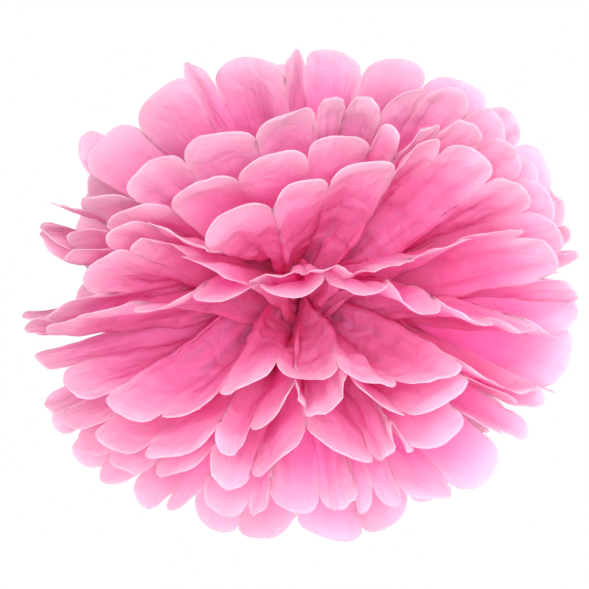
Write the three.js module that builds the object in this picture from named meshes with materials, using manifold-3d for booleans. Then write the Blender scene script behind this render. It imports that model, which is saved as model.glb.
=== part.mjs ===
// Tissue paper pom pom: ten sheets, pleated together, tied at the waist and pulled open into a ball.
// Millimetres, +Z up. X runs across the pleats, the front half fans open towards -Y, the tie is the origin.
import * as THREE from 'three';
import { mergeVertices } from 'three/addons/utils/BufferGeometryUtils.js';
import Module from 'manifold-3d';

const PANEL_WIDTH = 30;         // one pleat, fold to fold
const PANELS = 12;              // pleats across a sheet
const PAPER = 0.4;              // drawn thickness; the tissue itself is about 0.03
const LOBE_DEPTH = 12.5;        // round scissor cut at each pleat end
const LOBE_STEPS = [0.14, 0.5, 0.86];
const FOLD_REACH = 107;         // tie to the notch between two lobes, along a fold
const POLE_REACH = 3;           // the straighter pleats at the ends of a fan reach further
const WAIST_HALF = 6.2;         // half width of the gathered waist
const WAIST_ZIGZAG = 0.35;      // what is left of the pleats under the wire
const SHEET_RISE = 1.35;        // from one sheet to the next under the wire
const HUB = 8;                  // where the half fans leave the gathered waist
const HUB_SPREAD = 0.6;         // share of the full turn and lift reached at the hub
const RINGS = [HUB, 18, 32, 53, 79];
const PULL_RADIUS = 30;          // inside this the folds of all sheets nest in one another
const REACH_RADIUS = 96;         // beyond this a half fan lies as it was pulled
const EVEN_TURN = 78;           // turn of the outermost folds before they are pulled, degrees
const STEP_LIFT = 17.4;         // even lift between neighbouring sheets, degrees
const FOLD_LEAN = [9, 15, 20, 22, 23, 23, 22, 20, 15, 9];   // most a fold leans off its fan, degrees

const WIRE = 0.45;              // radius of the tie wire
const WIRE_SIDES = 6;
const TIE_HALF_X = 8.0;
const TIE_HALF_Z = 9.4;
const TWIST_TOP = 21;
const TWIST_TURNS = 3;
const TWIST_RADIUS = 0.62;
const LOOP_RADIUS = 3.6;

const PINK = '#ee6fa8';
const STEEL = '#8d9490';

// How the thirteen folds of each front half fan were pulled: turn across the ball and lift above level in
// degrees, and by how much the paper is crushed short in millimetres.
const FRONT = [
  { turn: [-51, -58, -43, -25, -22, -4, 1, 15, 30, 44, 55, 67, 78],
    lift: [86, 68, 73, 65, 80, 70, 83, 78, 82, 76, 79, 72, 74],
    shorten: [-1, 4, 9, 0, 8, 11, 8, 9, 4, -3, -2, -2, -1] },
  { turn: [-66, -53, -39, -27, -10, 3, 9, 17, 27, 38, 48, 58, 69],
    lift: [49, 33, 27, 35, 35, 42, 44, 44, 55, 58, 52, 48, 46],
    shorten: [-3, -1, 0, 2, 0, 1, -1, 2, -2, -2, -1, -2, -1] },
  { turn: [-70, -59, -45, -29, -14, 1, 15, 21, 30, 42, 54, 66, 78],
    lift: [44, 22, 18, 21, 26, 30, 34, 35, 44, 48, 46, 42, 42],
    shorten: [-2, -1, 0, 0, 2, -1, 2, 0, -1, -1, -1, -1, -1] },
  { turn: [-70, -59, -45, -35, -20, -6, 6, 21, 31, 44, 57, 69, 81],
    lift: [40, 16, 13, 18, 12, 18, 24, 29, 38, 36, 32, 29, 28],
    shorten: [-2, -1, 0, 0, 2, 3, 3, 2, -1, -1, -1, -2, -2] },
  { turn: [-80, -66, -52, -39, -26, -12, 0, 11, 24, 38, 53, 66, 77],
    lift: [-24, -6, 2, 11, 7, 8, 9, 9, 11, 15, 19, 14, -6],
    shorten: [-3, -2, 0, 0, 3, 5, 5, 4, 2, 0, -1, -2, -3] },
  { turn: [-80, -67, -54, -40, -25, -10, 5, 20, 32, 46, 58, 69, 79],
    lift: [-40, -18, -11, -5, -3, -2, 0, 1, -4, -8, -11, -17, -22],
    shorten: [-3, -2, -1, 2, 5, 7, 7, 6, 3, 2, 0, -1, -2] },
  { turn: [-73, -61, -47, -32, -18, -8, 7, 21, 36, 47, 60, 68, 76],
    lift: [-53, -30, -33, -31, -23, -16, -17, -18, -17, -18, -27, -38, -30],
    shorten: [-3, -2, -1, 0, 4, 6, 6, 4, 2, 0, -1, 0, -2] },
  { turn: [-69, -61, -49, -35, -20, -12, -2, 0, 10, 23, 38, 50, 61],
    lift: [-72, -56, -48, -43, -34, -31, -24, -27, -26, -31, -37, -46, -57],
    shorten: [-3, -2, -1, -1, 2, 3, 4, 4, 4, 3, 1, -1, -2] },
  { turn: [-67, -58, -46, -34, -21, -11, 1, 16, 20, 23, 36, 46, 55],
    lift: [-88, -72, -57, -52, -41, -45, -31, -41, -32, -41, -44, -54, -66],
    shorten: [-3, -2, -1, 1, 3, 3, 4, 4, 2, 1, -1, -1, -2] },
  { turn: [-58, -49, -40, -32, -22, -12, -7, 4, 12, 16, 21, 34, 46],
    lift: [-86, -88, -69, -70, -51, -56, -46, -53, -56, -59, -61, -68, -70],
    shorten: [-3, -1, 0, 1, 3, 3, 3, 3, 2, 2, 0, -2, -2] },
];

const rad = THREE.MathUtils.degToRad;
const mix = THREE.MathUtils.lerp;
const evenLift = (sheet) => STEP_LIFT * ((FRONT.length - 1) / 2 - sheet);
const evenTurn = (fold) => EVEN_TURN * (2 * fold / PANELS - 1);
const zigzag = (fold) => (fold % 2 ? -1 : 1);
const chance = (a, b) => {
  const v = Math.sin(12.9898 * a + 78.233 * b + 4.1) * 43758.5453;
  return 2 * (v - Math.floor(v)) - 1;
};

// The back half of a sheet: opened evenly by hand; its end folds lie with the front ones.
function backHalf(sheet) {
  const folds = Array.from({ length: PANELS + 1 }, (_, j) => j);
  const shared = (j) => [1, 0.5][Math.min(j, PANELS - j)] ?? 0;
  const across = (j) => 2 * j / PANELS - 1;
  const even = {
    turn: (j) => 77 * (0.25 * Math.sin(rad(90 * across(j)) * 0.98) + 0.75 * across(j)) + 2 * chance(sheet, j),
    lift: (j) => evenLift(sheet) * 0.97 + 4 * zigzag(j) + 1.6 * chance(sheet + 40, j),
  };
  return {
    turn: folds.map((j) => mix(even.turn(j), FRONT[sheet].turn[j], shared(j))),
    lift: folds.map((j) => mix(even.lift(j), FRONT[sheet].lift[j], shared(j))),
    shorten: folds.map((j) => 2.5 + 2.5 * chance(sheet + 80, j)),
  };
}

// Point on one fold at a distance from the tie; side is -1 at the front, +1 at the back.
function foldPoint(sheet, half, fold, r, side) {
  const spread = mix(HUB_SPREAD, 1, THREE.MathUtils.smoothstep(r, HUB, 40));
  const opened = THREE.MathUtils.smoothstep(r, HUB, REACH_RADIUS);
  const before = Math.max(fold - 1, 0), after = Math.min(fold + 1, PANELS);
  const pulled = THREE.MathUtils.smoothstep(r, PULL_RADIUS, REACH_RADIUS);
  const turnOf = (j) => rad(mix(evenTurn(j), half.turn[j], pulled) * spread);
  const turn = turnOf(fold);
  const smoothLift = (half.lift[before] + 2 * half.lift[fold] + half.lift[after]) / 4;
  const rimLean = half.lift[fold] - smoothLift;
  const gap = r * (turnOf(after) - turnOf(before)) / (after - before);
  const ply = 0.5 * Math.sqrt(Math.max(PANEL_WIDTH ** 2 - gap ** 2, 0));
  const gathered = mix(0.05, 1, THREE.MathUtils.smoothstep(r, HUB, 62));
  const around = Math.max(r * Math.cos(turn), 1);
  const steepest = THREE.MathUtils.radToDeg(Math.atan(ply * gathered / around));
  const lean = Math.min(steepest, FOLD_LEAN[sheet] * spread);
  const even = evenLift(sheet) * mix(HUB_SPREAD, 1, THREE.MathUtils.smoothstep(r, HUB, 45));
  const lift = rad(mix(even, smoothLift, opened) + mix(zigzag(fold) * lean, rimLean, opened));
  const stack = SHEET_RISE * ((FRONT.length - 1) / 2 - sheet) * (1 - THREE.MathUtils.smoothstep(r, 0, 34));
  return new THREE.Vector3(
    r * Math.sin(turn),
    side * r * Math.cos(turn) * Math.cos(lift),
    r * Math.cos(turn) * Math.sin(lift) + stack);
}

// Rows of the middle surface from the front notches through the waist to the back notches.
function sheetRows(sheet, halves) {
  const reach = (half, j) => FOLD_REACH + POLE_REACH * Math.abs(half.turn[j]) / 80 - half.shorten[j];
  const folds = Array.from({ length: PANELS + 1 }, (_, j) => j);
  const halfRows = (half, side) => [
    ...RINGS.map((r) => folds.map((j) => foldPoint(sheet, half, j, r, side))),
    folds.map((j) => foldPoint(sheet, half, j, reach(half, j), side))];
  const waist = folds.map((j) => new THREE.Vector3(
    WAIST_HALF * (2 * j / PANELS - 1), 0,
    SHEET_RISE * ((FRONT.length - 1) / 2 - sheet) + WAIST_ZIGZAG * zigzag(j)));
  return [...halfRows(halves.front, -1).reverse(), waist, ...halfRows(halves.back, 1)];
}

// One sheet as a closed skin of even thickness with round lobes on both ends of every panel.
function tissueSheet(sheet) {
  const rows = sheetRows(sheet, { front: FRONT[sheet], back: backHalf(sheet) });
  const columns = PANELS + 1;
  const points = rows.flat();
  const at = (row, column) => row * columns + column;
  const faces = [];
  for (let row = 0; row < rows.length - 1; row++) {
    for (let j = 0; j < PANELS; j++) {
      const [a, b, c, d] = [at(row, j), at(row, j + 1), at(row + 1, j + 1), at(row + 1, j)];
      if ((row + j) % 2) faces.push([a, b, c], [a, c, d]);
      else faces.push([a, b, d], [b, c, d]);
    }
  }
  const rim = [];
  const lobes = (row, inner, flip) => {
    for (let j = 0; j < PANELS; j++) {
      const from = rows[row][j], to = rows[row][j + 1];
      const out = from.clone().sub(rows[inner][j]).normalize()
        .add(to.clone().sub(rows[inner][j + 1]).normalize()).normalize();
      const chain = [at(row, j), ...LOBE_STEPS.map((u) => {
        const swell = LOBE_DEPTH * Math.sqrt(1 - (2 * u - 1) ** 2);
        points.push(from.clone().lerp(to, u).addScaledVector(out, swell));
        return points.length - 1;
      }), at(row, j + 1)];
      const [a, p, q, s, b] = chain;
      for (const face of [[a, p, b], [p, q, s], [p, s, b]]) faces.push(flip ? face : face.reverse());
      for (let k = 0; k < chain.length - 1; k++) {
        rim.push(flip ? [chain[k], chain[k + 1]] : [chain[k + 1], chain[k]]);
      }
    }
  };
  lobes(0, 1, true);
  lobes(rows.length - 1, rows.length - 2, false);
  for (let row = 0; row < rows.length - 1; row++) {
    rim.push([at(row + 1, 0), at(row, 0)], [at(row, PANELS), at(row + 1, PANELS)]);
  }
  return thicken(points, faces, rim);
}

// Middle surface to closed skin: every point moves half the paper each way, mitred at the folds.
function thicken(points, faces, rim) {
  const normals = points.map(() => new THREE.Vector3());
  const corner = ([a, b, c]) => new THREE.Triangle(points[a], points[b], points[c]);
  const flat = faces.map((face) => corner(face).getNormal(new THREE.Vector3()));
  faces.forEach((face, f) => face.forEach((v) => normals[v].add(flat[f])));
  normals.forEach((n) => n.normalize());
  const least = points.map(() => 1);
  faces.forEach((face, f) => face.forEach((v) => {
    least[v] = Math.min(least[v], normals[v].dot(flat[f]));
  }));
  const shift = normals.map((n, v) => n.multiplyScalar(PAPER / 2 / Math.max(least[v], 0.5)));
  const side = (sign) => points.map((p, v) => p.clone().addScaledVector(shift[v], sign));
  const solid = [...side(1), ...side(-1)];
  const under = points.length;
  const index = [];
  for (const [a, b, c] of faces) index.push(a, b, c, under + a, under + c, under + b);
  for (const [a, b] of rim) index.push(b, a, under + a, b, under + a, under + b);
  const geometry = new THREE.BufferGeometry();
  geometry.setAttribute('position', new THREE.Float32BufferAttribute(solid.flatMap((p) => p.toArray()), 3));
  geometry.setIndex(index);
  return geometry;
}

const manifold = await Module();
manifold.setup();

function toManifold(geometry) {
  const bare = new THREE.BufferGeometry();
  bare.setAttribute('position', geometry.getAttribute('position'));
  bare.setIndex(geometry.getIndex());
  const welded = mergeVertices(bare, 1e-4);
  return new manifold.Manifold(new manifold.Mesh({
    numProp: 3,
    vertProperties: Float32Array.from(welded.getAttribute('position').array),
    triVerts: Uint32Array.from(welded.getIndex().array),
  }));
}

function fromManifold(body) {
  const mesh = body.getMesh();
  const geometry = new THREE.BufferGeometry();
  geometry.setAttribute('position', new THREE.Float32BufferAttribute(mesh.vertProperties, 3));
  geometry.setIndex([...mesh.triVerts]);
  return geometry;
}

// Round wire along a path, with closed ends or joined end to end.
function wire(points, steps, closed) {
  const path = new THREE.CatmullRomCurve3(points, closed);
  if (closed) return toManifold(new THREE.TubeGeometry(path, steps, WIRE, WIRE_SIDES, true));
  const ring = Array.from({ length: WIRE_SIDES }, (_, k) => new THREE.Vector2(
    WIRE * Math.cos(2 * Math.PI * k / WIRE_SIDES), WIRE * Math.sin(2 * Math.PI * k / WIRE_SIDES)));
  const sweep = { steps, bevelEnabled: false, extrudePath: path };
  return toManifold(new THREE.ExtrudeGeometry(new THREE.Shape(ring), sweep));
}

// Wire once round the waist, its ends twisted together up to an open hanging loop.
function tieWire() {
  const band = Array.from({ length: 16 }, (_, k) => {
    const a = 2 * Math.PI * k / 16;
    const squash = (Math.abs(Math.cos(a)) ** 4 + Math.abs(Math.sin(a)) ** 4) ** -0.25;
    return new THREE.Vector3(TIE_HALF_X * squash * Math.cos(a), 0, TIE_HALF_Z * squash * Math.sin(a));
  });
  const strand = (phase) => Array.from({ length: 13 }, (_, k) => {
    const a = phase + 2 * Math.PI * TWIST_TURNS * k / 12;
    return new THREE.Vector3(TWIST_RADIUS * Math.cos(a), TWIST_RADIUS * Math.sin(a),
      mix(TIE_HALF_Z, TWIST_TOP, k / 12));
  });
  const loop = Array.from({ length: 12 }, (_, k) => {
    const a = 2 * Math.PI * k / 12;
    return new THREE.Vector3(LOOP_RADIUS * Math.cos(a), 0, TWIST_TOP + LOOP_RADIUS * (1 + Math.sin(a)));
  });
  return fromManifold([wire(band, 24, true), wire(strand(0), 22, false), wire(strand(Math.PI), 22, false),
    wire(loop, 18, true)].reduce((all, one) => all.add(one)));
}

function piece(name, geometry, colour, roughness, metalness) {
  const finish = new THREE.MeshStandardMaterial({ color: colour, roughness, metalness });
  const mesh = new THREE.Mesh(geometry, finish);
  mesh.name = name;
  return mesh;
}

const pompom = new THREE.Group();
pompom.name = 'tissue_paper_pom_pom';
FRONT.forEach((_, sheet) => pompom.add(
  piece(`tissue_sheet_${String(sheet + 1).padStart(2, '0')}`, tissueSheet(sheet), PINK, 0.9, 0)));
pompom.add(piece('tie_wire', tieWire(), STEEL, 0.45, 0.9));

export default pompom;
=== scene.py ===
"""Tissue paper pom pom: ten pleated sheets tied at the waist and pulled open into a ball.

Metres, +Z up, the tie at the origin. X runs across the pleats; the front half fans open
towards -Y. Each sheet is one strip of tissue whose folds run from its front rim through
the tie to its back rim.
"""

import logging
from dataclasses import dataclass
from enum import Enum

import bpy
import numpy as np
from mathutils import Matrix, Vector


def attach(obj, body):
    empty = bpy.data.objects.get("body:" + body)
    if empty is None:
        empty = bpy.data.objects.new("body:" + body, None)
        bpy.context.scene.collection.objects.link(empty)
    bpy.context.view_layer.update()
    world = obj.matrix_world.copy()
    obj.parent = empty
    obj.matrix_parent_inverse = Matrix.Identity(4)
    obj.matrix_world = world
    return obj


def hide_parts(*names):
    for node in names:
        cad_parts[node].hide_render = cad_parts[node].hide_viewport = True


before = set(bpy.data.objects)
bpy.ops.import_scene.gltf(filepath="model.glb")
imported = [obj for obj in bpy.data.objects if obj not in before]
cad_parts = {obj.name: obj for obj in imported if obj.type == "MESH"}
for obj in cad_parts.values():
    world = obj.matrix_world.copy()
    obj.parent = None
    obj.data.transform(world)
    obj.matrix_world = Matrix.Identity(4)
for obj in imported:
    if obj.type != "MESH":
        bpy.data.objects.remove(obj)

LOG = logging.getLogger("pom_pom")
MM = 0.001

# One strip of tissue and its pleats, mm unless it says otherwise.
SHEETS = 10
PANELS = 12                 # pleats across a sheet
PANEL_WIDTH = 30.0          # one pleat, fold to fold
TISSUE = 0.12               # drawn thickness of the tissue
LOBE_DEPTH = 12.5           # round scissor cut at each pleat end
LOBE_SQUARE = 2.4           # power of the cut's outline: 2 is a half ellipse, more is squarer
LOBE_LEAN = (0.78, 1.28)    # powers that lean a lobe to one side or the other
SNIP_SLIP = 1.3             # how far the scissors strayed

# The gathered waist under the wire, mm.
WAIST_HALF = 6.2            # half its width
WAIST_ZIGZAG = 0.35         # what is left of the pleats
SHEET_RISE = 1.35           # from one sheet to the next

# How a half fan opens on its way out from the tie: distances in mm, angles in degrees.
HUB = 8.0                   # where it leaves the gathered waist
HUB_SPREAD = 0.6            # share of the turn and lift reached there
FULL_SPREAD = 34.0          # where it has its full turn and lift
PULL_TURN = (14.0, 66.0)    # where the folds take up their own pulled turn
PULL_SHEET = (HUB, 64.0)    # where the sheet takes up its own pulled lift
PULL_FOLD = (16.0, 64.0)    # where each fold takes up its own pulled lift
EVEN_TURN = 78.0            # turn of the outermost folds before they are pulled
STEP_LIFT = 17.4            # even lift between neighbouring sheets
FOLD_REACH = 107.0          # tie to the notch between two lobes
POLE_REACH = 3.0            # how much further the straight pleats at the ends of a fan reach
POLE_TURN = 80.0            # turn at which they do

# Height of the pleats above and below the middle of their sheet, mm.
STAND = 16.0                # distance from the tie where they stand highest
RISES = (2.0, STAND)        # where they rise from flat
PLEAT_STAND = 13.0          # how high there; from there each fold runs straight to the rim
RIM_PLEAT = 5.0             # what the closed end pleats keep of it at the rim
CLOSED_TURN = (42.0, 72.0)  # turn from which pleats stay closed, and from which fully
POLE_ROOM = 24.0            # the pleats lie flatter this close to the axis of the poles

# Shape of the paper between two folds.
CRUSHED_FOLDS = 2               # usual number of small folds where the tie crushed a panel
CRUSHED_STEEP = 0.13            # most height of a small fold, as a share of the distance from the tie
CRUSHED_FROM = (10.0, 24.0)     # where the small folds start, mm from the tie
CRUSHED_FADE = (34.0, 100.0)    # where they flatten
CRUSHED_FADED = 0.6             # share of their height that they lose there
NARROW_STEEP = 0.36             # most height as a share of a small fold's own width
NARROW_FADE = (50.0, 90.0)      # where that share falls
NARROW_FADED = 0.22             # and by how much
TAUT_CUP = (0.61, 0.69)         # cup from which a panel is pulled taut, and fully so
TAUT_FADED = 0.8                # share of the small folds' height that a taut panel loses
OPENS_FROM = (40.0, 92.0)       # where a panel bows freely, mm from the tie
CURLS_FROM = (72.0, 122.0)      # where a lobe curls, mm from the tie
CURL_LATE = 1.6                 # power that keeps the curl for the tip
CURL_SIDES = 0.6                # share of the curl at the sides of a lobe
USUAL_CUP = 0.3                 # bow of a panel that was left alone: up above the middle, down below
CUP_SLIP = 0.3                  # how far that bow strays
USUAL_CURL = (-3.0, 4.0)        # curl of a lobe that was left alone, mm

# Seeds of the unevenness, so that every run gives the same ball.
SEED_HAND, SEED_SNIP, SEED_CRUSHED, SEED_CREASE = 700, 400, 90, 31


def smoothstep(x: np.ndarray, low: float, high: float) -> np.ndarray:
    """Ease from 0 at low to 1 at high, 3t^2 - 2t^3.

    Args:
        x: Values to ease.
        low: Where the ease starts.
        high: Where it ends.

    Returns:
        The eased values, 0 to 1.
    """
    t = np.clip((x - low) / (high - low), 0.0, 1.0)
    return t * t * (3.0 - 2.0 * t)


def unit(v: np.ndarray) -> np.ndarray:
    """Scale vectors on the last axis to length one."""
    return v / np.maximum(np.linalg.norm(v, axis=-1, keepdims=True), 1e-9)


def linear(hex_colour: str) -> tuple[float, float, float, float]:
    """Turn an sRGB hex colour into linear light.

    Args:
        hex_colour: Six hex digits after a hash.

    Returns:
        Red, green, blue and an alpha of one.
    """
    raw = [int(hex_colour[k:k + 2], 16) / 255.0 for k in (1, 3, 5)]
    light = [c / 12.92 if c <= 0.04045 else ((c + 0.055) / 1.055) ** 2.4 for c in raw]
    return (light[0], light[1], light[2], 1.0)


class Side(Enum):
    """The two halves of a sheet, and which way along Y each one opens."""

    FRONT = -1
    BACK = 1


@dataclass(frozen=True)
class Pulled:
    """How one half fan was pulled open, fold by fold and panel by panel.

    Attributes:
        turn: Turn of the thirteen folds across the ball at the rim, degrees.
        lift: Lift of the thirteen folds above level at the rim, degrees.
        shorten: How far each fold's notch is drawn in by the curve of the paper, mm.
        cup: Bow of each of the twelve panels, -1 to 1 of what its slack allows; up is positive.
        curl: How far each panel's lobe curls up at its tip, mm.
    """

    turn: tuple[float, ...]
    lift: tuple[float, ...]
    shorten: tuple[float, ...] = (0.0,) * (PANELS + 1)
    cup: tuple[float, ...] = ()
    curl: tuple[float, ...] = ()


FRONT: tuple[Pulled, ...] = (
    Pulled(turn=(-51, -58, -43, -25, -22, -4, 1, 15, 30, 44, 55, 67, 78),
           lift=(86, 68, 73, 65, 80, 70, 83, 78, 82, 76, 79, 72, 74),
           shorten=(-1, 4, 9, 0, 8, 11, 8, 9, 4, -3, -2, -2, -1)),
    Pulled(turn=(-66, -53, -39, -27, -10, 3, 9, 17, 27, 38, 48, 58, 69),
           lift=(49, 33, 27, 35, 35, 42, 44, 44, 55, 58, 52, 48, 46),
           shorten=(-3, -1, 0, 2, 0, 1, -1, 2, -2, -2, -1, -2, -1)),
    Pulled(turn=(-70, -59, -45, -29, -14, 1, 15, 21, 30, 42, 54, 66, 78),
           lift=(44, 22, 18, 21, 26, 30, 34, 35, 44, 48, 46, 42, 42),
           shorten=(-2, -1, 0, 0, 2, -1, 2, 0, -1, -1, -1, -1, -1),
           curl=(0, 2, 3, 2, 2, 3, 2, 0, 0, 1, 0, 0)),
    Pulled(turn=(-70, -59, -45, -35, -20, -6, 6, 21, 31, 44, 57, 69, 81),
           lift=(40, 16, 13, 18, 9, 18, 24, 29, 38, 36, 32, 29, 28),
           shorten=(-2, -1, 0, 0, 2, 3, 3, 2, -1, -1, -1, -2, -2),
           curl=(0, 0, 1, 2, 9, 5, 5, 3, 1, 0, 0, 0)),
    Pulled(turn=(-80, -66, -52, -39, -26, -12, 0, 11, 24, 38, 53, 66, 77),
           lift=(-30, -10, -2, 11, 10, 3, 5, 5, 9, 15, 19, 14, -20),
           shorten=(-3, -2, 0, 0, 3, 5, 5, 4, 2, 0, -1, -2, -3),
           curl=(0, 1, 4, 1, -2, -2, -3, -3, -1, 2, 2, 0)),
    Pulled(turn=(-80, -67, -54, -40, -25, -10, 5, 20, 32, 46, 58, 69, 79),
           lift=(-40, -16, -8, -1, 3, 5, 6, 6, 1, -5, -11, -17, -8),
           shorten=(-3, -2, -1, 2, 5, 7, 7, 6, 3, 2, 0, -1, -2),
           curl=(0, -1, -3, -9, -12, -13, -13, -12, -9, -6, -3, 0)),
    Pulled(turn=(-73, -61, -47, -32, -19, -6, 8, 21, 36, 47, 60, 68, 76),
           lift=(-53, -30, -33, -31, -23, -15, -16, -20, -18, -30, -45, -69, -36),
           shorten=(-3, -2, -1, 0, 4, 6, 6, 4, 2, 0, -1, 0, -2),
           cup=(-0.1, -0.4, -0.2, -0.5, 0.1, -0.7, 0.1, -0.4, -0.2, -0.5, -0.1, -0.3),
           curl=(0, 0, -2, -2, -2, -2, -3, -2, 0, 0, 0, 0)),
    Pulled(turn=(-69, -61, -49, -35, -20, -12, -2, 0, 10, 23, 38, 50, 61),
           lift=(-85, -56, -48, -43, -34, -31, -19, -27, -19, -29, -23, -38, -46),
           shorten=(-3, -2, -1, -1, 2, 3, 4, 4, 4, 3, 1, -1, -2)),
    Pulled(turn=(-67, -58, -46, -34, -21, -11, 1, 16, 20, 23, 36, 46, 55),
           lift=(-88, -74, -57, -52, -41, -45, -31, -41, -32, -38, -33, -47, -55),
           shorten=(-3, -2, -1, 1, 3, 3, 4, 4, 2, 1, -1, -1, -2)),
    Pulled(turn=(-58, -49, -40, -32, -22, -12, -7, 4, 12, 16, 21, 34, 46),
           lift=(-82, -88, -69, -70, -51, -56, -46, -53, -48, -52, -50, -60, -53),
           shorten=(-3, -1, 0, 1, 3, 3, 3, 3, 2, 2, 0, -2, -2)),
)


def from_middle(number: int) -> float:
    """Place of a sheet above the middle of the stack, in sheets; number counts from 0 at the top."""
    return (SHEETS - 1) / 2 - number


def even_lift(number: int) -> float:
    """Lift of a sheet when all ten are opened evenly; number counts from 0 at the top."""
    return STEP_LIFT * from_middle(number)


def zigzag() -> np.ndarray:
    """Which way each of the thirteen folds points: 1 up, -1 down."""
    return np.where(np.arange(PANELS + 1) % 2, -1.0, 1.0)


@dataclass(frozen=True)
class HandOpened:
    """How evenly a hand opens the half of a sheet that is not pulled for show.

    Attributes:
        turn: Turn of the outermost folds, degrees.
        rounded: Share of the turn that follows a sine across the fan; the rest is even.
        level: Share of the even lift that is reached.
        pleat: Lift that each fold keeps up or down from the pleating, degrees.
        sine_reach: Share of a quarter wave that this sine runs through up to the outermost fold.
        sway: Slow sines in the lift: degrees, rate across the fan, shift for each sheet, start.
        aside: How soon the steep notches of the lower sheets are drawn in, away from the middle.
        slip: Most that a fold slips in turn and in lift, degrees.
        drawn_in: Most that the curve of the paper draws a notch in, mm.
        steep: Lifts between which a notch is drawn in further, degrees, and how far, mm.
        cup: Least and most bow of a panel.
        curl: Least and most curl of a lobe, mm.
    """

    turn: float = 77.0
    rounded: float = 0.25
    level: float = 0.97
    pleat: float = 4.0
    sine_reach: float = 0.98
    sway: tuple[tuple[float, float, float, float], ...] = ((4.0, 4.1, 0.45, 0.8), (2.2, 8.6, -0.5, 0.0))
    aside: float = 1.5
    slip: tuple[float, float] = (2.0, 1.8)
    drawn_in: float = 5.0
    steep: tuple[float, float, float] = (35.0, 60.0, 8.0)
    cup: tuple[float, float] = (-0.5, 0.6)
    curl: tuple[float, float] = (-4.0, 5.0)

    def pull(self, number: int) -> Pulled:
        """Open one half.

        The lift is even, plus the pleat, plus two slow sines across the fan that shift from
        sheet to sheet. The two folds at each end run on from the front half's.

        Args:
            number: Sheet, counted from 0 at the top.

        Returns:
            The folds and panels of that half.
        """
        rng = np.random.default_rng(SEED_HAND + number)
        across = np.linspace(-1.0, 1.0, PANELS + 1)
        sine = np.sin(across * np.pi / 2 * self.sine_reach)
        turn = self.turn * (self.rounded * sine + (1 - self.rounded) * across)
        turn += rng.uniform(-self.slip[0], self.slip[0], PANELS + 1)
        lift = even_lift(number) * self.level + self.pleat * zigzag()
        lift = lift + rng.uniform(-self.slip[1], self.slip[1], PANELS + 1)
        lift += sum(size * np.sin(rate * across + shift * number + start)
                    for size, rate, shift, start in self.sway)
        front = FRONT[number]
        for fold, share in ((0, 1.0), (1, 0.5), (PANELS - 1, 0.5), (PANELS, 1.0)):
            turn[fold] += (front.turn[fold] - turn[fold]) * share
            lift[fold] += (front.lift[fold] - lift[fold]) * share
        gentle, full, further = self.steep
        upper = 1.0 if number < SHEETS // 2 else 0.0
        steep = smoothstep(np.abs(lift), gentle, full)
        steep = steep * np.clip(self.aside * np.abs(across) + upper, 0.0, 1.0)
        bent = rng.uniform(0.0, self.drawn_in, PANELS + 1) + further * steep
        return Pulled(tuple(turn), tuple(lift), tuple(bent),
                      tuple(rng.uniform(*self.cup, PANELS)), tuple(rng.uniform(*self.curl, PANELS)))


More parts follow.
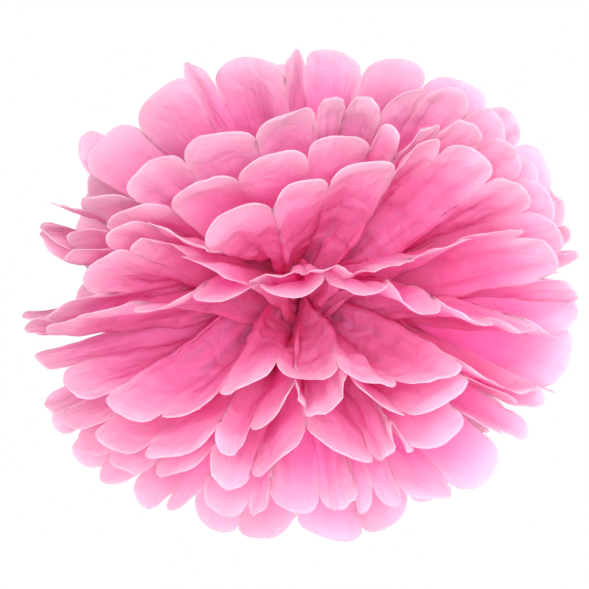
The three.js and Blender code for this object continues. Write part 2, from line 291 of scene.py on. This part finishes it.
@dataclass
class HalfFan:
    """One half of a sheet, from the tie to its lobed rim.

    Attributes:
        number: Sheet, counted from 0 at the top.
        side: Which way it opens.
        pulled: How it was pulled open.
        cells: Grid cells across one panel.
        rows: Grid rows from the tie to the rim.
    """

    number: int
    side: Side
    pulled: Pulled
    cells: int = 12
    rows: int = 64

    @staticmethod
    def spread(r: np.ndarray) -> np.ndarray:
        """Share of the full turn and lift that the fan has reached at each radius."""
        return HUB_SPREAD + (1 - HUB_SPREAD) * smoothstep(r, HUB, FULL_SPREAD)

    def turns(self, r: np.ndarray) -> np.ndarray:
        """Turn of all folds at each radius, radians; folds run on a new last axis."""
        even = np.linspace(-EVEN_TURN, EVEN_TURN, PANELS + 1)
        own = np.asarray(self.pulled.turn)
        pull = smoothstep(r, *PULL_TURN)[..., None]
        return np.radians((even + (own - even) * pull) * self.spread(r)[..., None])

    def lifts(self, r: np.ndarray) -> np.ndarray:
        """Lift of all folds at each radius, radians: even, then the sheet's, then the fold's own."""
        lift = np.asarray(self.pulled.lift, dtype=float)
        near = np.concatenate([lift[:1], lift, lift[-1:]])
        smooth = (near[:-2] + 2 * near[1:-1] + near[2:]) / 4
        level = even_lift(self.number) * self.spread(r)[..., None]
        return np.radians(level + (smooth - level) * smoothstep(r, *PULL_SHEET)[..., None]
                          + (lift - smooth) * smoothstep(r, *PULL_FOLD)[..., None])

    def pleat_heights(self, r: np.ndarray, outward: np.ndarray) -> np.ndarray:
        """Height of all folds over the middle of their sheet at each radius, mm.

        The pleats stand highest at STAND and from there run straight out, to nothing at the
        rim, or to RIM_PLEAT at the ends of the fan, where they are never pulled flat.

        Args:
            r: Distances from the tie, mm.
            outward: Part of each distance that leads away from the axis of the poles, mm.

        Returns:
            Heights, mm, with folds on the last axis.
        """
        closed = smoothstep(np.abs(np.asarray(self.pulled.turn)), *CLOSED_TURN)
        straight = np.clip((r - STAND) / (FOLD_REACH - STAND), 0.0, 1.0)[..., None]
        height = PLEAT_STAND * (1 - straight) + RIM_PLEAT * closed * straight
        height = height * zigzag() * smoothstep(r, *RISES)[..., None]
        return height * np.minimum(1.0, outward / POLE_ROOM)

    def fold_points(self, r: np.ndarray) -> np.ndarray:
        """Points on all thirteen folds at each radius.

        With turn a, lift b and height h over the sheet a fold lies at x = r sin a,
        y = r cos a cos b - h sin b and z = r cos a sin b + h cos b.

        Args:
            r: Distances from the tie, mm, any shape.

        Returns:
            Points, mm, shaped as r with folds and x, y, z added.
        """
        turn, lift = self.turns(r), self.lifts(r)
        reach = r[..., None] * np.ones_like(turn)
        outward = reach * np.cos(turn)
        height = self.pleat_heights(r, outward)
        stack = SHEET_RISE * from_middle(self.number) * (1 - smoothstep(r, 0.0, FULL_SPREAD))[..., None]
        return np.stack([reach * np.sin(turn),
                         self.side.value * (outward * np.cos(lift) - height * np.sin(lift)),
                         outward * np.sin(lift) + height * np.cos(lift) + stack], axis=-1)

    def rim(self, panel: np.ndarray, t: np.ndarray) -> np.ndarray:
        """Distance from the tie to the cut rim, mm.

        From notch to notch plus a lobe of depth (1 - |2t-1|^p)^(1/p), leaning a little to one
        side, with the slips of the scissors as three sines.

        Args:
            panel: Panel of each column.
            t: Place of each column across its panel, 0 to 1.

        Returns:
            Distances, mm, one for each column.
        """
        turn = np.abs(np.asarray(self.pulled.turn, dtype=float))
        notch = FOLD_REACH + POLE_REACH * turn / POLE_TURN - np.asarray(self.pulled.shorten)
        snip = np.random.default_rng(SEED_SNIP + 2 * self.number + self.side.value)
        leaning = t ** snip.uniform(*LOBE_LEAN, PANELS)[panel]
        lobe = LOBE_DEPTH * (1 - np.abs(2 * leaning - 1) ** LOBE_SQUARE) ** (1 / LOBE_SQUARE)
        for waves in (1.0, 2.0, 3.0):
            slip = snip.uniform(-SNIP_SLIP, SNIP_SLIP, PANELS)[panel]
            lobe = lobe + slip * np.sin(np.pi * waves * t) / waves
        return notch[panel] * (1 - t) + notch[panel + 1] * t + lobe

    @staticmethod
    def small_folds(r: np.ndarray, chord: np.ndarray, count: np.ndarray, t: np.ndarray) -> np.ndarray:
        """Height of the small folds that the tie crushed into each panel, mm.

        The slack between the fold distance and the 30 mm panel goes into rounded triangle
        waves, (2/pi) asin(0.97 sin(2 pi n t)), which flatten out towards the rim.

        Args:
            r: Distances from the tie, mm.
            chord: Distances between the two folds of a panel, mm.
            count: Small folds in each column's panel; the sign says which way the first goes.
            t: Place of each column across its panel, 0 to 1.

        Returns:
            Heights, mm.
        """
        slack = np.sqrt(np.maximum(PANEL_WIDTH ** 2 - chord ** 2, 0.0)) / (4 * CRUSHED_FOLDS)
        height = np.minimum(slack, CRUSHED_STEEP * r) * smoothstep(r, *CRUSHED_FROM)
        height = height * (1 - CRUSHED_FADED * smoothstep(r, *CRUSHED_FADE))
        steepest = (NARROW_STEEP - NARROW_FADED * smoothstep(r, *NARROW_FADE)) * chord / np.abs(count)
        wave = (2 / np.pi) * np.arcsin(0.97 * np.sin(2 * np.pi * count * t))
        return np.minimum(height, steepest) * wave[None, :]

    def grid(self) -> tuple[np.ndarray, np.ndarray, np.ndarray]:
        """The half fan as one grid, rows from the hub to the rim, columns across all panels.

        Between two folds the paper is a straight line plus a height along the panel's normal:
        a bow of sqrt(3/8 c (30 - c)) 4t(1-t) for a fold distance c, times the panel's cup, the
        small crushed folds, and the curl of the lobe.

        Returns:
            Points in mm, the share of the way from tie to rim, and the place across the sheet.
        """
        cell = (1 - np.cos(np.linspace(0.0, np.pi, self.cells + 1))) / 2
        u = np.concatenate([cell[:-1] + panel for panel in range(PANELS)] + [[float(PANELS)]])
        panel = np.minimum(u.astype(int), PANELS - 1)
        t = u - panel
        v = np.linspace(0.0, 1.0, self.rows + 1)
        r = HUB + (self.rim(panel, t) - HUB)[None, :] * v[:, None]
        folds = self.fold_points(r)
        rows, columns = np.indices(r.shape)
        left, right = folds[rows, columns, panel[columns]], folds[rows, columns, panel[columns] + 1]
        flat = left * (1 - t[None, :, None]) + right * t[None, :, None]
        chord = np.linalg.norm(right - left, axis=-1)

        rng = np.random.default_rng(SEED_CRUSHED + 2 * self.number + self.side.value)
        count = rng.integers(1, CRUSHED_FOLDS + 2, PANELS)[panel] * rng.choice([-1.0, 1.0], PANELS)[panel]
        cups = np.asarray(self.pulled.cup) if self.pulled.cup else (
            USUAL_CUP * np.sign(even_lift(self.number)) + rng.uniform(-CUP_SLIP, CUP_SLIP, PANELS))
        curls = np.asarray(self.pulled.curl) if self.pulled.curl else rng.uniform(*USUAL_CURL, PANELS)

        arc = 4 * t * (1 - t)
        cup = cups[panel][None, :]
        bow = np.sqrt(3 / 8 * chord * np.maximum(PANEL_WIDTH - chord, 0.0)) * smoothstep(r, *OPENS_FROM)
        taut = TAUT_FADED * smoothstep(np.abs(cup), *TAUT_CUP)
        crushed = self.small_folds(r, chord, count, t) * (1 - taut)
        curl = (curls[panel] * (CURL_SIDES + (1 - CURL_SIDES) * arc))[None, :]
        curl = curl * smoothstep(r, *CURLS_FROM) ** CURL_LATE
        normal = unit(np.cross(unit(right - left), unit(flat))) * float(self.side.value)
        points = flat + normal * (bow * cup * arc[None, :] + crushed + curl)[..., None]
        return points, v[:, None] * np.ones_like(u)[None, :], u[None, :] * np.ones_like(v)[:, None]


@dataclass(frozen=True)
class Creases:
    """Fine creases of handled tissue, as a height along the paper's normal.

    Attributes:
        long_count: Long soft wrinkles that run out from the tie.
        long_waves: Their least and most number to a panel.
        long_bend: Most that they bend on their way out, radians for a third of the way.
        long_size: Their least and most height, mm, before the narrow ones are made lower.
        ripple_count: Weaker ripples that cross them.
        ripple_length: Their least and most length, mm.
        ripple_size: Their height at a length of one millimetre, mm.
        starts: Shares of the way out from the tie between which the creases set in.
    """

    long_count: int = 7
    long_waves: tuple[float, float] = (1.2, 4.5)
    long_bend: float = 1.5
    long_size: tuple[float, float] = (0.10, 0.32)
    ripple_count: int = 9
    ripple_length: tuple[float, float] = (9.0, 26.0)
    ripple_size: float = 0.016
    starts: tuple[float, float] = (0.10, 0.3)

    def heights(self, points: np.ndarray, share: np.ndarray, across: np.ndarray, seed: int) -> np.ndarray:
        """Height of the creases: a sum of a few sines with seeded phases.

        Args:
            points: Grid points, mm.
            share: Share of the way from tie to rim.
            across: Place across the sheet, in panels.
            seed: Seed of the phases.

        Returns:
            Heights, mm.
        """
        rng = np.random.default_rng(seed)
        height = np.zeros(share.shape)
        for _ in range(self.long_count):
            waves = rng.uniform(*self.long_waves)
            phase = rng.uniform(0, 2 * np.pi)
            bend = rng.uniform(-self.long_bend, self.long_bend)
            size = rng.uniform(*self.long_size) / np.sqrt(waves)
            wrinkle = np.sin(2 * np.pi * waves * across + phase + bend * 3 * share)
            height += size * wrinkle * (1.25 - 0.75 * share)
        for _ in range(self.ripple_count):
            direction = rng.normal(size=3)
            direction /= np.linalg.norm(direction)
            length = rng.uniform(*self.ripple_length)
            ripple = np.sin(points @ direction * 2 * np.pi / length + rng.uniform(0, 2 * np.pi))
            height += self.ripple_size * length ** 0.9 * ripple
        return height


@dataclass
class TissueSheet:
    """One sheet: two half fans joined through the gathered waist.

    Attributes:
        number: Sheet, counted from 0 at the top.
        node: CAD node that it stands for.
        halves: How the front and the back half were pulled open.
        creases: The fine creases all over it.
    """

    number: int
    node: str
    halves: dict[Side, Pulled]
    creases: Creases = Creases()

    def surface(self) -> tuple[np.ndarray, np.ndarray, np.ndarray]:
        """Middle surface of the whole sheet from front rim to back rim.

        Returns:
            Points in metres, share of the way from tie to rim, place across in panels.
        """
        front, v_front, u_front = HalfFan(self.number, Side.FRONT, self.halves[Side.FRONT]).grid()
        back, v_back, u_back = HalfFan(self.number, Side.BACK, self.halves[Side.BACK]).grid()
        u = u_front[:1]
        fold = np.abs((u % 2) - 1) * 2 - 1
        rise = SHEET_RISE * from_middle(self.number)
        waist = np.stack([WAIST_HALF * (2 * u / PANELS - 1), 0 * u, rise + WAIST_ZIGZAG * fold], axis=-1)
        points = np.concatenate([front[::-1], waist, back])
        share = np.concatenate([v_front[::-1], 0 * u, v_back])
        across = np.concatenate([u_front[::-1], u, u_back])
        normal = unit(np.cross(np.gradient(points, axis=1), np.gradient(points, axis=0)))
        height = np.concatenate([
            self.creases.heights(front, v_front, u_front, SEED_CREASE * self.number + 5)[::-1], 0 * u,
            self.creases.heights(back, v_back, u_back, SEED_CREASE * self.number + 17)])
        height *= smoothstep(share, *self.creases.starts)
        return (points + normal * height[..., None]) * MM, share, across

    def build(self, material: bpy.types.Material) -> bpy.types.Object:
        """Make the sheet's mesh, dress it, hang it under the root body and hide the CAD part that it stands
        for.

        Args:
            material: Finish of the tissue.

        Returns:
            The sheet's object.
        """
        points, share, across = self.surface()
        rows, columns = share.shape
        index = np.arange(rows * columns).reshape(rows, columns)
        quads = np.stack([index[:-1, :-1], index[:-1, 1:], index[1:, 1:], index[1:, :-1]], axis=-1)
        quads = quads.reshape(-1, 4)
        mesh = bpy.data.meshes.new(f"paper_{self.number + 1:02d}")
        mesh.from_pydata(points.reshape(-1, 3).tolist(), [], quads.tolist())
        mesh.polygons.foreach_set("use_smooth", np.ones(len(quads), dtype=bool))
        for name, values in (("share", share), ("across", across)):
            layer = mesh.attributes.new(name, "FLOAT", "POINT")
            layer.data.foreach_set("value", values.reshape(-1).astype(np.float32))
        mesh.materials.append(material)
        sheet = bpy.data.objects.new(f"paper_sheet_{self.number + 1:02d}", mesh)
        bpy.context.scene.collection.objects.link(sheet)
        thick = sheet.modifiers.new("thickness", "SOLIDIFY")
        thick.thickness = TISSUE * MM
        thick.offset = 0.0
        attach(sheet, "root")
        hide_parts(self.node)
        LOG.info("%s: %d grid points", sheet.name, rows * columns)
        return sheet


def add_node(tree: bpy.types.NodeTree, kind: str, links: dict[str, object] | None = None,
             values: dict[str, object] | None = None, **settings: object) -> bpy.types.Node:
    """Add one shader node with its settings, input values and incoming links.

    Args:
        tree: Node tree to add to.
        kind: Type name of the node.
        links: Input name to the output socket that feeds it.
        values: Input name to its value.
        **settings: Attributes of the node.

    Returns:
        The new node.
    """
    node = tree.nodes.new(kind)
    for key, value in settings.items():
        setattr(node, key, value)
    for key, value in (values or {}).items():
        node.inputs[key].default_value = value
    for key, socket in (links or {}).items():
        tree.links.new(socket, node.inputs[key])
    return node


@dataclass(frozen=True)
class DyedTissue:
    """Dyed wood-pulp tissue, pressed thin and dried on a drum: matt, and light comes through it.

    Attributes:
        painted_shade_and_pulp: Painted shade, the colour of the folds near the tie where they lie in shade;
            the pulp's clouding also tends towards it.
        body: Colour of the open petals.
        rim: Painted light at the cut edge, where the light soaks in and shows through the single layer.
        fibre: Spacing of the pulp's cloudiness, mm.
        facet: Size of the flat patches between fine creases, mm.
        streaks: Long soft creases in each panel, drawn out from the tie.
        dents: Soft dents left by the hand, number to a metre: one every 26 mm.
        painted_shade_until: Share of the way out from the tie up to which the painted shade holds.
        body_at: Share of the way out at which the body colour is reached.
        light_through: Share of the light that goes through the paper.
    """

    # Painted shade: colour of the folds near the tie, where they lie in shade; also what the pulp clouds
    # towards.
    painted_shade_and_pulp: str = "#ff9edf"
    body: str = "#f4a6d4"
    # Painted light: the cut rim is coloured paler where light shows through the single layer.
    rim: str = "#f0d2df"
    fibre: float = 1.6
    facet: float = 12.0
    streaks: float = 5.5
    dents: float = 38.0
    painted_shade_until: float = 0.26
    body_at: float = 0.74
    light_through: float = 0.66

    def tone(self, tree: bpy.types.NodeTree, share: bpy.types.NodeSocket,
             cloud: bpy.types.Node) -> bpy.types.NodeSocket:
        """Colour of the paper, with painted shade near the tie where the folds lie in shade, painted light
        paling the cut rim, and clouding from the pulp.

        Args:
            tree: Node tree of the material.
            share: Share of the way from tie to rim.
            cloud: Noise of the pulp.

        Returns:
            The colour.
        """
        # Painted shade towards the tie and painted light towards the cut rim, graded by the share of the way
        # out.
        ramp = add_node(tree, "ShaderNodeValToRGB", {"Fac": share})
        stops = ramp.color_ramp
        stops.elements[0].position, stops.elements[0].color = self.painted_shade_until, linear(self.painted_shade_and_pulp)
        # Painted light: the last stop pales the colour towards the cut rim.
        stops.elements[1].position, stops.elements[1].color = 1.0, linear(self.rim)
        stops.elements.new(self.body_at).color = linear(self.body)
        tone = add_node(tree, "ShaderNodeMixRGB", {"Color1": ramp.outputs["Color"]},
                        {"Color2": linear(self.painted_shade_and_pulp)}, blend_type="MIX")
        amount = add_node(tree, "ShaderNodeMapRange", {"Value": cloud.outputs["Fac"]},
                          {"From Min": 0.35, "From Max": 0.75, "To Min": 0.0, "To Max": 0.16})
        tree.links.new(amount.outputs["Result"], tone.inputs["Fac"])
        return tone.outputs["Color"]

    def relief(self, tree: bpy.types.NodeTree, place: bpy.types.NodeSocket,
               share: bpy.types.NodeSocket, cloud: bpy.types.Node) -> bpy.types.NodeSocket:
        """Relief too fine for the mesh: pulp, flat patches, streaks from the tie, and dents.

        Args:
            tree: Node tree of the material.
            place: Place on the piece, metres.
            share: Share of the way from tie to rim.
            cloud: Noise of the pulp.

        Returns:
            The normal.
        """
        dents = add_node(tree, "ShaderNodeTexNoise", {"Vector": place}, {"Scale": self.dents, "Detail": 2.0})
        pulp = add_node(tree, "ShaderNodeBump", {"Height": cloud.outputs["Fac"]},
                        {"Strength": 0.25, "Distance": 0.0002})
        drift = add_node(tree, "ShaderNodeMixRGB", {"Color1": place, "Color2": dents.outputs["Color"]},
                         {"Fac": 0.02}, blend_type="ADD")
        facets = add_node(tree, "ShaderNodeTexVoronoi", {"Vector": drift.outputs["Color"]},
                          {"Scale": 1000.0 / self.facet}, feature="DISTANCE_TO_EDGE")
        handled = add_node(tree, "ShaderNodeBump", {"Height": facets.outputs["Distance"],
                                                    "Normal": pulp.outputs["Normal"]},
                           {"Strength": 0.6, "Distance": 0.003})
        across = add_node(tree, "ShaderNodeAttribute", attribute_name="across").outputs["Fac"]
        along = add_node(tree, "ShaderNodeCombineXYZ", {"X": across, "Y": share, "Z": dents.outputs["Fac"]})
        streak = add_node(tree, "ShaderNodeMapping", {"Vector": along.outputs["Vector"]},
                          {"Scale": (self.streaks, 3.0, 2.0)})
        drawn = add_node(tree, "ShaderNodeTexNoise", {"Vector": streak.outputs["Vector"]},
                         {"Scale": 1.0, "Detail": 3.0, "Roughness": 0.55})
        folded = add_node(tree, "ShaderNodeBump", {"Height": drawn.outputs["Fac"],
                                                   "Normal": handled.outputs["Normal"]},
                          {"Strength": 0.45, "Distance": 0.003})
        dented = add_node(tree, "ShaderNodeBump", {"Height": dents.outputs["Fac"],
                                                   "Normal": folded.outputs["Normal"]},
                          {"Strength": 0.3, "Distance": 0.0015})
        return dented.outputs["Normal"]

    def make(self) -> bpy.types.Material:
        """Build the material: a matt face, mixed with light that comes through the paper.

        Returns:
            The finished material.
        """
        material = bpy.data.materials.new("dyed_tissue_paper")
        material.use_nodes = True
        tree = material.node_tree
        tree.nodes.clear()
        place = add_node(tree, "ShaderNodeTexCoord").outputs["Object"]
        share = add_node(tree, "ShaderNodeAttribute", attribute_name="share").outputs["Fac"]
        cloud = add_node(tree, "ShaderNodeTexNoise", {"Vector": place},
                         {"Scale": 1000.0 / self.fibre, "Detail": 3.0, "Roughness": 0.6})
        colour = self.tone(tree, share, cloud)
        normal = self.relief(tree, place, share, cloud)
        face = add_node(tree, "ShaderNodeBsdfPrincipled", {"Base Color": colour, "Normal": normal},
                        {"Roughness": 0.9, "IOR": 1.35, "Specular IOR Level": 0.25})
        through = add_node(tree, "ShaderNodeBsdfTranslucent", {"Color": colour, "Normal": normal})
        both = add_node(tree, "ShaderNodeMixShader", values={"Fac": self.light_through})
        tree.links.new(face.outputs["BSDF"], both.inputs[1])
        tree.links.new(through.outputs["BSDF"], both.inputs[2])
        add_node(tree, "ShaderNodeOutputMaterial", {"Surface": both.outputs["Shader"]})
        return material


@dataclass(frozen=True)
class FloristWire:
    """Drawn and annealed steel wire: dull grey, with fine marks of the die along it.

    Attributes:
        colour: Colour of the annealed steel.
        mark: Spacing of the die marks, mm.
    """

    colour: str = "#8b918d"
    mark: float = 0.4

    def make(self) -> bpy.types.Material:
        """Build the material.

        Returns:
            The finished material.
        """
        material = bpy.data.materials.new("annealed_steel_wire")
        material.use_nodes = True
        tree = material.node_tree
        tree.nodes.clear()
        place = add_node(tree, "ShaderNodeTexCoord").outputs["Object"]
        marks = add_node(tree, "ShaderNodeTexNoise", {"Vector": place},
                         {"Scale": 1000.0 / self.mark, "Detail": 2.0})
        shade = add_node(tree, "ShaderNodeMapRange", {"Value": marks.outputs["Fac"]},
                         {"To Min": 0.36, "To Max": 0.55})
        bump = add_node(tree, "ShaderNodeBump", {"Height": marks.outputs["Fac"]},
                        {"Strength": 0.2, "Distance": 0.0001})
        metal = add_node(tree, "ShaderNodeBsdfPrincipled",
                         {"Roughness": shade.outputs["Result"], "Normal": bump.outputs["Normal"]},
                         {"Base Color": linear(self.colour), "Metallic": 1.0})
        add_node(tree, "ShaderNodeOutputMaterial", {"Surface": metal.outputs["BSDF"]})
        return material


@dataclass(frozen=True)
class SoftLight:
    """One square soft light that faces the ball.

    Attributes:
        name: Light's name.
        place: Its place, metres.
        size: Side of the square, metres.
        watts: Its power.
    """

    name: str
    place: tuple[float, float, float]
    size: float
    watts: float

    def hang(self) -> None:
        """Put the light in the scene."""
        lamp = bpy.data.lights.new(self.name, "AREA")
        lamp.size = self.size
        lamp.energy = self.watts
        holder = bpy.data.objects.new(self.name, lamp)
        holder.location = self.place
        holder.rotation_euler = (-Vector(self.place)).to_track_quat("-Z", "Y").to_euler()
        bpy.context.scene.collection.objects.link(holder)


LIGHTS = (
    SoftLight("front_soft", (0.02, -1.45, 0.06), 0.7, 23.0),
    SoftLight("high_right_soft", (0.45, -1.15, 0.85), 0.8, 15.0),
    SoftLight("right_back_soft", (1.2, 0.3, 0.3), 1.0, 16.0),
    SoftLight("left_soft", (-1.2, -0.15, 0.10), 0.9, 9.0),
    SoftLight("back_soft", (0.1, 1.5, 0.15), 0.9, 18.0),
)


@dataclass(frozen=True)
class Studio:
    """Pale floor, soft light all round and the camera level with the ball.

    Attributes:
        distance: Camera to the middle of the ball, metres.
        view_width: Width that the camera sees there, metres.
        aim_x: How far the camera stands to the right, metres.
        floor_drop: Middle of the ball to the floor, metres.
        floor_half: Half the side of the floor, metres.
        floor_colour: Colour of the floor's paint.
        room: Strength of the light from all round.
        bounces: How often light is followed from petal to petal.
    """

    distance: float = 1.10
    view_width: float = 0.2629
    aim_x: float = -0.0033
    floor_drop: float = 0.42
    floor_half: float = 1.4
    floor_colour: str = "#f7f5f5"
    room: float = 0.37
    bounces: int = 34

    def lay_floor(self) -> None:
        """Lay a plain matt floor under the ball."""
        side, low = self.floor_half, -self.floor_drop
        mesh = bpy.data.meshes.new("floor")
        mesh.from_pydata([(-side, -side, low), (side, -side, low), (side, side, low), (-side, side, low)],
                         [], [(0, 1, 2, 3)])
        paint = bpy.data.materials.new("pale_matt_floor")
        paint.use_nodes = True
        shader = paint.node_tree.nodes["Principled BSDF"]
        shader.inputs["Base Color"].default_value = linear(self.floor_colour)
        shader.inputs["Roughness"].default_value = 0.95
        mesh.materials.append(paint)
        floor = bpy.data.objects.new("floor", mesh)
        bpy.context.scene.collection.objects.link(floor)

    def light_room(self) -> None:
        """Light the room evenly, with a white backdrop, and hang the lights."""
        scene = bpy.context.scene
        world = bpy.data.worlds.new("soft_room")
        world.use_nodes = True
        back = world.node_tree.nodes["Background"]
        back.inputs["Color"].default_value = (1.0, 1.0, 1.0, 1.0)
        path = add_node(world.node_tree, "ShaderNodeLightPath")
        level = add_node(world.node_tree, "ShaderNodeMapRange", {"Value": path.outputs["Is Camera Ray"]},
                         {"To Min": self.room, "To Max": 1.0})
        world.node_tree.links.new(level.outputs["Result"], back.inputs["Strength"])
        scene.world = world
        scene.view_settings.view_transform = "Standard"
        scene.cycles.max_bounces = self.bounces + 2
        scene.cycles.diffuse_bounces = self.bounces
        scene.cycles.transmission_bounces = self.bounces
        for light in LIGHTS:
            light.hang()

    def place_camera(self) -> None:
        """Stand the camera in front of the ball, level with its middle."""
        camera = bpy.data.cameras.new("camera")
        camera.sensor_width = 36.0
        camera.lens = camera.sensor_width * self.distance / self.view_width
        holder = bpy.data.objects.new("camera", camera)
        holder.location = (self.aim_x, -self.distance, 0.0)
        holder.rotation_euler = (np.pi / 2, 0.0, 0.0)
        bpy.context.scene.collection.objects.link(holder)
        bpy.context.scene.camera = holder

    def build(self) -> None:
        """Lay the floor, light the room and place the camera."""
        self.lay_floor()
        self.light_room()
        self.place_camera()


def main() -> None:
    """Build the ball, the wire's finish and the studio, in that order."""
    logging.basicConfig(level=logging.INFO)
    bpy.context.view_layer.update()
    tissue = DyedTissue().make()
    for number in range(SHEETS):
        halves = {Side.FRONT: FRONT[number], Side.BACK: HandOpened().pull(number)}
        TissueSheet(number, f"tissue_sheet_{number + 1:02d}", halves).build(tissue)
    wire = bpy.data.objects["tie_wire"]
    wire.data.materials.clear()
    wire.data.materials.append(FloristWire().make())
    LOG.info("tie_wire: finish set")
    Studio().build()
    LOG.info("studio: floor, %d lights and camera", len(LIGHTS))


if __name__ == "__main__":
    main()
